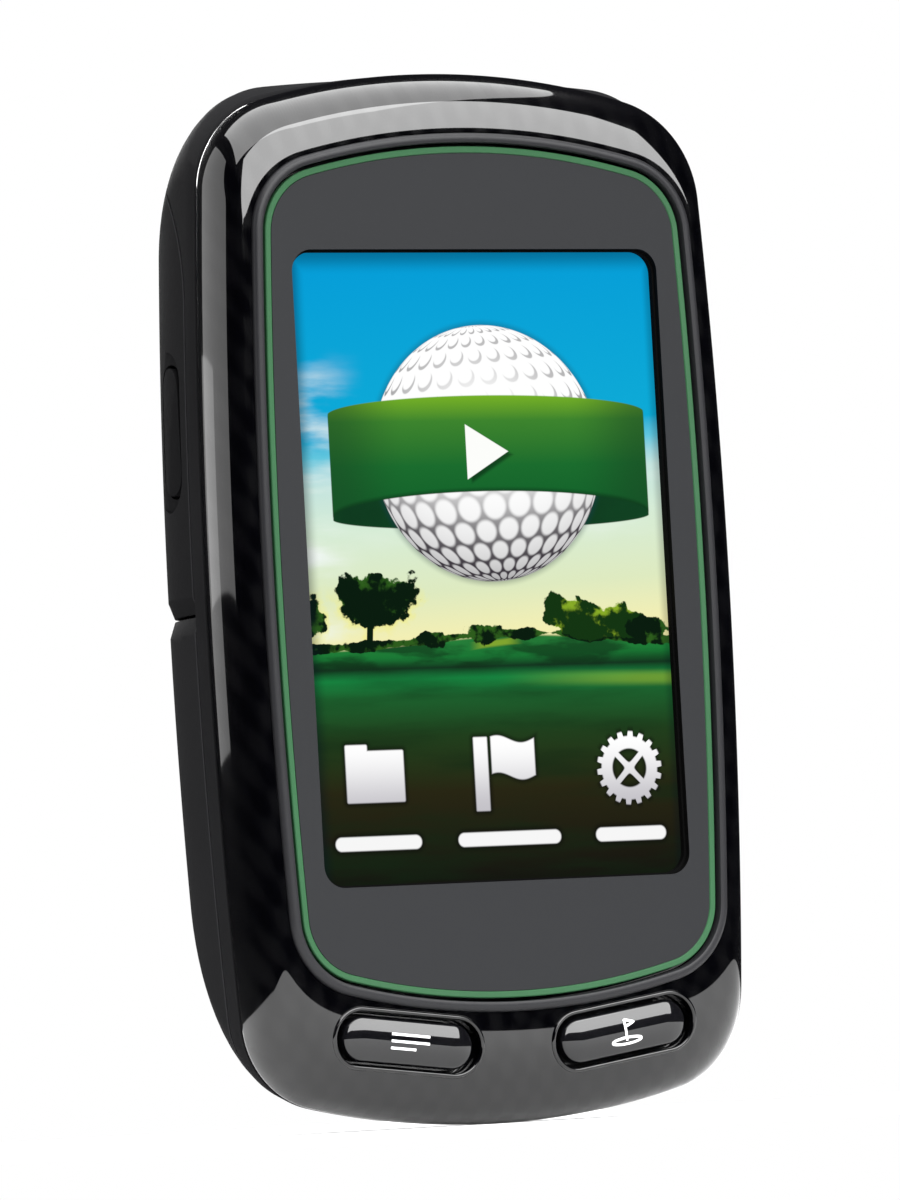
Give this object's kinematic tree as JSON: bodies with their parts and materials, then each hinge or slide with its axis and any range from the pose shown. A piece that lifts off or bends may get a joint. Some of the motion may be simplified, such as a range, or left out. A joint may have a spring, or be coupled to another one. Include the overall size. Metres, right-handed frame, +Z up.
{
  "type": "handheld golf gps",
  "caption": "Pocket golf GPS: gloss black barrel-shaped case, portrait touch screen with grey surround and green ring, pill keys below, side power key, port cap, coin-locked battery door.",
  "frame": {"origin": "centre of the bounding box on the ground, under the chin of the upright device", "axes": "+Z up along the screen's height, the screen faces -Y, +X to the right of someone looking at the screen"},
  "size_m": [0.052, 0.02, 0.0943],
  "materials": {
    "bezel_gloss": "mirror-gloss black with a faint carbon weave under the gloss on the chin",
    "key_gloss": "mirror-gloss black",
    "rim_satin": "satin grey",
    "accent_green": "satin green",
    "lens_matte": "fine matte grey",
    "film_clear": "clear film",
    "screen": "lit colour display",
    "white_plastic": "moulded",
    "steel": "rolled sheet",
    "silicone": "matte",
    "board": "solder mask",
    "ceramic": "fired ceramic with a metal patch",
    "black_plastic": "moulded",
    "case_matte": "fine matte black",
    "grip_rubber": "soft-touch black",
    "door_matte": "fine matte black",
    "lock_metal": "turned, dark",
    "battery_wrap": "shrink wrap"
  },
  "bodies": {
    "case": {"front_bezel": "bezel_gloss", "display_rim": "rim_satin", "accent_ring": "accent_green", "lens_mask": "lens_matte", "touch_film": "film_clear", "lcd_panel": "screen", "backlight_unit": "white_plastic", "display_frame": "steel", "key_membrane": "silicone", "score_switch": "steel", "green_switch": "steel", "main_board": "board", "shield_can": "steel", "gps_antenna": "ceramic", "beeper": "black_plastic", "usb_connector": "steel", "power_switch": "steel", "battery_contacts": "white_plastic", "rear_case": "case_matte", "case_seal": "silicone", "back_grip": "grip_rubber", "battery_pack": "battery_wrap", "case_screw_1": "steel", "case_screw_2": "steel", "case_screw_3": "steel", "case_screw_4": "steel"},
    "score_key": {"score_button": "key_gloss"},
    "green_key": {"green_button": "key_gloss"},
    "power_key": {"power_button": "grip_rubber"},
    "port_cap": {"usb_cap": "grip_rubber"},
    "door": {"battery_door": "door_matte"},
    "lock": {"door_lock": "lock_metal"}
  },
  "joints": [
    {"name": "score_press", "type": "slide", "parent": "case", "child": "score_key", "axis": [0, 1, 0], "range_m": [0, 0.0006], "stiffness_N_per_m": 1500},
    {"name": "green_press", "type": "slide", "parent": "case", "child": "green_key", "axis": [0, 1, 0], "range_m": [0, 0.0006], "stiffness_N_per_m": 1500},
    {"name": "power_press", "type": "slide", "parent": "case", "child": "power_key", "axis": [1, 0, 0], "range_m": [0, 0.0005], "stiffness_N_per_m": 1500},
    {"name": "port_cap_hinge", "type": "hinge", "parent": "case", "child": "port_cap", "pos_m": [0.02597, 0, 0.0564], "axis": [0, 1, 0], "range_deg": [0, 110]},
    {"name": "door_hinge", "type": "hinge", "parent": "case", "child": "door", "pos_m": [0, -0.0019, 0.0006], "axis": [-1, 0, 0], "range_deg": [0, 45]},
    {"name": "lock_turn", "type": "hinge", "parent": "door", "child": "lock", "pos_m": [0, 0.01, 0.0377], "axis": [0, 1, 0], "range_deg": [0, 90]}
  ]
}
